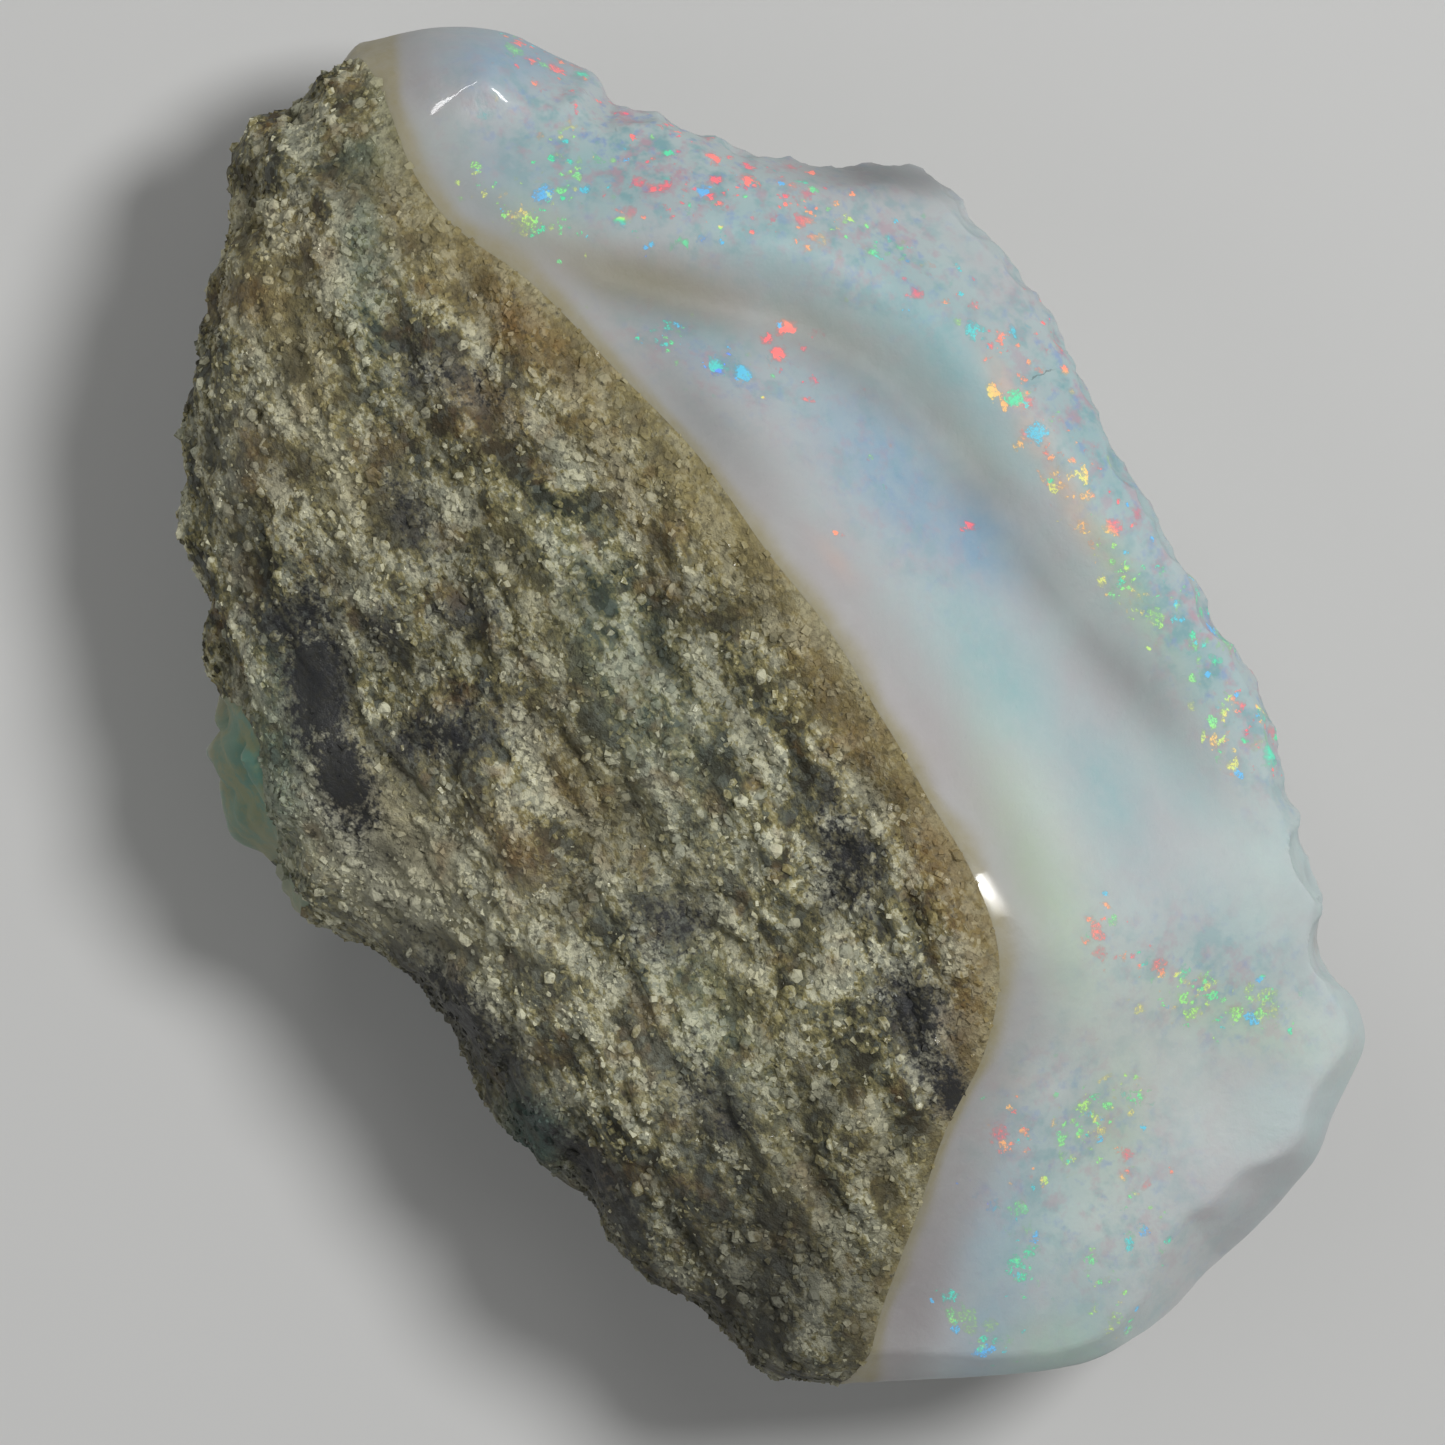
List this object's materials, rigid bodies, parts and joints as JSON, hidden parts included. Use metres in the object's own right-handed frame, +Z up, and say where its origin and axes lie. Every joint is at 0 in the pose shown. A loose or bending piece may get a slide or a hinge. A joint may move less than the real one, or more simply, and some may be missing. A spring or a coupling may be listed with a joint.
{
  "type": "rough opal",
  "caption": "Rough piece of white opal with play of colour, still joined to grey-brown sandstone along a ridge; lies on a flat break",
  "frame": {"origin": "on the surface that the stone rests on, under the middle of its extent in X and Y", "axes": "+Z up, away from the flat break that it rests on; +X along the stone, from its end with the flake and the step to its blunt end; +Y towards the opal, so that the sandstone face is on the -Y side"},
  "size_m": [0.0376, 0.0242, 0.0133],
  "materials": {
    "sandstone": "coarse grained, dull, with glinting grains",
    "opal": "milky, translucent and glossy, with specks of play of colour"
  },
  "bodies": {
    "root": {"sandstone": "sandstone", "opal": "opal"}
  },
  "joints": []
}
